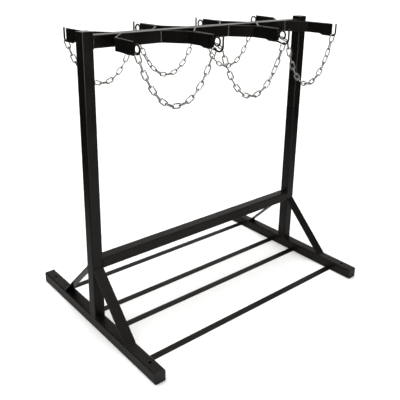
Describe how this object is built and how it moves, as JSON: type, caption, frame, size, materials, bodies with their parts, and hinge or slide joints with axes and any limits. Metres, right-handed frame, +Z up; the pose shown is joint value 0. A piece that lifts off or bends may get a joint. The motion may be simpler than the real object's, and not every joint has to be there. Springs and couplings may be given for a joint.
{
  "type": "gas cylinder stand",
  "caption": "Floor-standing double-sided gas cylinder stand: square-tube frame on two long feet, bent flat-bar cradles under the top rail, safety chains in hooks",
  "frame": {"origin": "on the floor, at the middle of the stand's footprint", "axes": "+X along the rails from the left foot to the right one, +Y along the feet to the back row of cradles, +Z up"},
  "size_m": [1.014, 0.752, 1.024],
  "materials": {
    "frame_black": "semi-gloss black powder coat",
    "cap_black": "moulded black plastic",
    "chain_zinc": "bright zinc plating"
  },
  "bodies": {
    "frame": {"foot_left": "frame_black", "upright_left": "frame_black", "upright_cap_left": "frame_black", "foot_cap_left_front": "cap_black", "brace_left_front": "frame_black", "foot_cap_left_back": "cap_black", "brace_left_back": "frame_black", "foot_right": "frame_black", "upright_right": "frame_black", "upright_cap_right": "frame_black", "foot_cap_right_front": "cap_black", "brace_right_front": "frame_black", "foot_cap_right_back": "cap_black", "brace_right_back": "frame_black", "lower_rail": "frame_black", "top_rail": "frame_black", "floor_strip_front_outer": "frame_black", "floor_strip_front_inner": "frame_black", "floor_strip_back_inner": "frame_black", "floor_strip_back_outer": "frame_black", "cradle_front_1": "frame_black", "eye_front_1": "frame_black", "hook_front_1": "frame_black", "cradle_front_2": "frame_black", "eye_front_2": "frame_black", "hook_front_2": "frame_black", "eye_link_front_2": "chain_zinc", "cradle_front_3": "frame_black", "eye_front_3": "frame_black", "hook_front_3": "frame_black", "eye_link_front_3": "chain_zinc", "cradle_back_1": "frame_black", "eye_back_1": "frame_black", "hook_back_1": "frame_black", "cradle_back_2": "frame_black", "eye_back_2": "frame_black", "hook_back_2": "frame_black", "eye_link_back_2": "chain_zinc", "cradle_back_3": "frame_black", "eye_back_3": "frame_black", "hook_back_3": "frame_black", "eye_link_back_3": "chain_zinc"},
    "chain_front_1": {"chain_front_1": "chain_zinc"},
    "chain_front_2": {"chain_front_2": "chain_zinc"},
    "chain_front_3": {"chain_front_3": "chain_zinc"},
    "chain_back_1": {"chain_back_1": "chain_zinc"},
    "chain_back_2": {"chain_back_2": "chain_zinc"},
    "chain_back_3": {"chain_back_3": "chain_zinc"}
  },
  "joints": [
    {"name": "chain_front_1_swing", "type": "hinge", "parent": "frame", "child": "chain_front_1", "pos_m": [-0.44472, -0.21344, 0.98369], "axis": [0.999, 0.0236, -0.0379], "range_deg": [-25, 15]},
    {"name": "chain_front_2_swing", "type": "hinge", "parent": "frame", "child": "chain_front_2", "pos_m": [-0.1454, -0.2374, 0.9726], "axis": [0.999, 0.0425, -0.0145], "range_deg": [-25, 15]},
    {"name": "chain_front_3_swing", "type": "hinge", "parent": "frame", "child": "chain_front_3", "pos_m": [0.1516, -0.2374, 0.9726], "axis": [0.9931, 0.1172, 0.0054], "range_deg": [-25, 15]},
    {"name": "chain_back_1_swing", "type": "hinge", "parent": "frame", "child": "chain_back_1", "pos_m": [0.44472, 0.21344, 0.98369], "axis": [-0.999, -0.0236, -0.0379], "range_deg": [-25, 15]},
    {"name": "chain_back_2_swing", "type": "hinge", "parent": "frame", "child": "chain_back_2", "pos_m": [0.1454, 0.2374, 0.9726], "axis": [-0.999, -0.0425, -0.0145], "range_deg": [-25, 15]},
    {"name": "chain_back_3_swing", "type": "hinge", "parent": "frame", "child": "chain_back_3", "pos_m": [-0.1516, 0.2374, 0.9726], "axis": [-0.9931, -0.1172, 0.0054], "range_deg": [-25, 15]}
  ]
}
